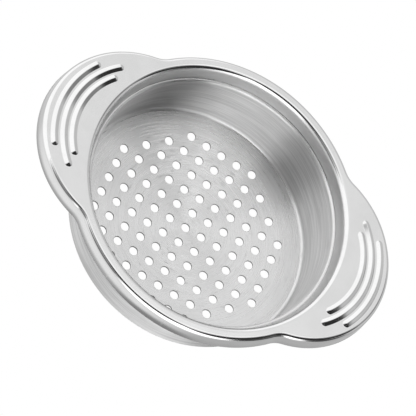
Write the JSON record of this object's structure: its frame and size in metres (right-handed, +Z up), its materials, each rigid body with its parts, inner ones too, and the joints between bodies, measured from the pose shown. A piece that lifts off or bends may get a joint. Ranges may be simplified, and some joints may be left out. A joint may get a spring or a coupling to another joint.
{
  "type": "can strainer",
  "caption": "Pressed steel can strainer: shallow round basket with a perforated dished floor, a steep collar that centres a can's rim, and a turned-down flange that widens into two ribbed thumb ears.",
  "frame": {"origin": "lowest point of the basket, on its axis", "axes": "+Z up along the basket's axis, +X along the two ears, +Y across them"},
  "size_m": [0.1262, 0.0982, 0.0299],
  "materials": {
    "basket_steel": "spun and brushed round the axis",
    "frame_steel": "satin polished",
    "weld_steel": "fused, between the sheets"
  },
  "bodies": {
    "root": {"basket": "basket_steel", "rim_frame": "frame_steel", "spot_welds": "weld_steel"}
  },
  "joints": []
}
